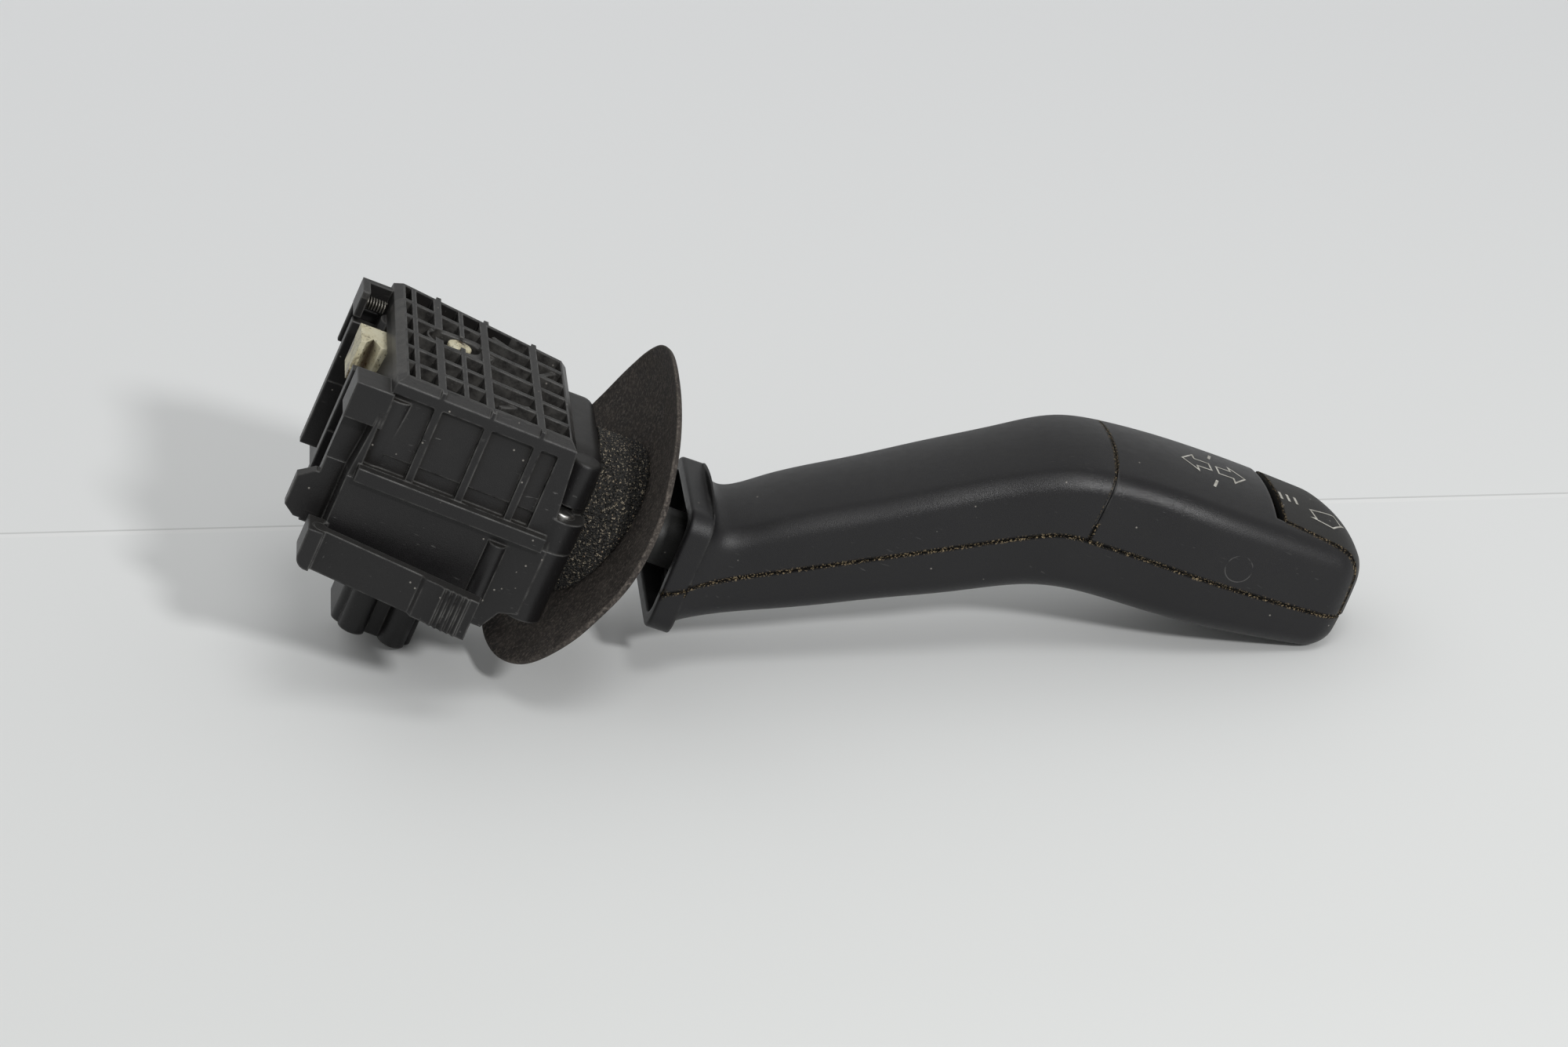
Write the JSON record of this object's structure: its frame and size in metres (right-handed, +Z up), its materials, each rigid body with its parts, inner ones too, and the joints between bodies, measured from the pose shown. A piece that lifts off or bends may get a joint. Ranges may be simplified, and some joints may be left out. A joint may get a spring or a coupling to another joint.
{
  "type": "combination stalk switch",
  "caption": "Column stalk switch: a ribbed case with a cancelling pawl, detents and connector foot, and a sealed gimballed lever with a cranked grip and end button.",
  "frame": {"origin": "middle of the bounding box's bottom face, the table it lies on", "axes": "+X from the switch case to the grip's tip, +Y to the far side, the side away from the release latch, +Z up as it lies; the switch's own swing axis leans 24.5 degrees from +Z towards +X"},
  "size_m": [0.198, 0.0648, 0.0664],
  "materials": {
    "case_plastic": "moulded, dusty",
    "carrier_plastic": "moulded",
    "arm_plastic": "moulded, glass filled",
    "grip_plastic": "fine spark texture",
    "button_plastic": "fine spark texture",
    "slide_plastic": "greased",
    "seal_rubber": "matte, worn",
    "foam": "open cell",
    "steel": "bright",
    "brass_contact": "bright",
    "board": "laminate",
    "lead_sheath": "smooth"
  },
  "bodies": {
    "housing": {"case_cover": "case_plastic", "case_tray": "case_plastic", "case_screws": "steel", "return_post": "steel", "contact_board": "board", "fixed_contacts": "brass_contact", "terminal_pins": "brass_contact", "detent_cam": "slide_plastic", "seal_skirt": "seal_rubber", "foam_ring": "foam", "pawl_spring": "steel"},
    "latch": {"release_latch": "case_plastic"},
    "pawl_slider": {"pawl_pin": "slide_plastic"},
    "pawl": {"cancel_pawl": "slide_plastic"},
    "carrier": {"lever_carrier": "carrier_plastic", "lever_pin": "steel", "turn_detent_plunger": "steel", "turn_detent_spring": "steel", "contact_shoe": "slide_plastic", "wiper_springs": "brass_contact"},
    "lever": {"lever_arm": "arm_plastic", "beam_detent_plunger": "steel", "beam_detent_spring": "steel", "switch_lead": "lead_sheath", "grip_lower_shell": "grip_plastic", "grip_upper_inner_shell": "grip_plastic", "grip_upper_outer_shell": "grip_plastic", "switch_board": "board", "button_switch": "button_plastic", "button_spring": "steel"},
    "button": {"end_button": "button_plastic"}
  },
  "joints": [
    {"name": "turn_swing", "type": "hinge", "parent": "housing", "child": "carrier", "pos_m": [-0.06088, 0.0003, 0.03674], "axis": [0.4147, 0, 0.91], "range_deg": [-8, 8]},
    {"name": "beam_tilt", "type": "hinge", "parent": "carrier", "child": "lever", "pos_m": [-0.06088, 0.0003, 0.03674], "axis": [0, 1, 0], "range_deg": [-6, 6], "stiffness_Nm_per_rad": 6},
    {"name": "button_press", "type": "slide", "parent": "lever", "child": "button", "axis": [-0.9415, 0, 0.3371], "range_m": [0, 0.0015], "stiffness_N_per_m": 2000, "springref_m": -0.0003, "deforming": ["button_spring"]},
    {"name": "pawl_slide", "type": "slide", "parent": "housing", "child": "pawl_slider", "axis": [-0.91, 0, 0.4147], "range_m": [0, 0.003], "stiffness_N_per_m": 200, "springref_m": -0.001},
    {"name": "pawl_swing", "type": "hinge", "parent": "pawl_slider", "child": "pawl", "pos_m": [-0.06919, 0.0079, 0.05371], "axis": [0.4147, 0, 0.91], "range_deg": [-7, 7], "stiffness_Nm_per_rad": 0.02},
    {"name": "latch_flex", "type": "hinge", "parent": "housing", "child": "latch", "pos_m": [-0.09421, -0.0237, 0.03545], "axis": [0.4147, 0, 0.91], "range_deg": [0, 7], "stiffness_Nm_per_rad": 1.3}
  ]
}
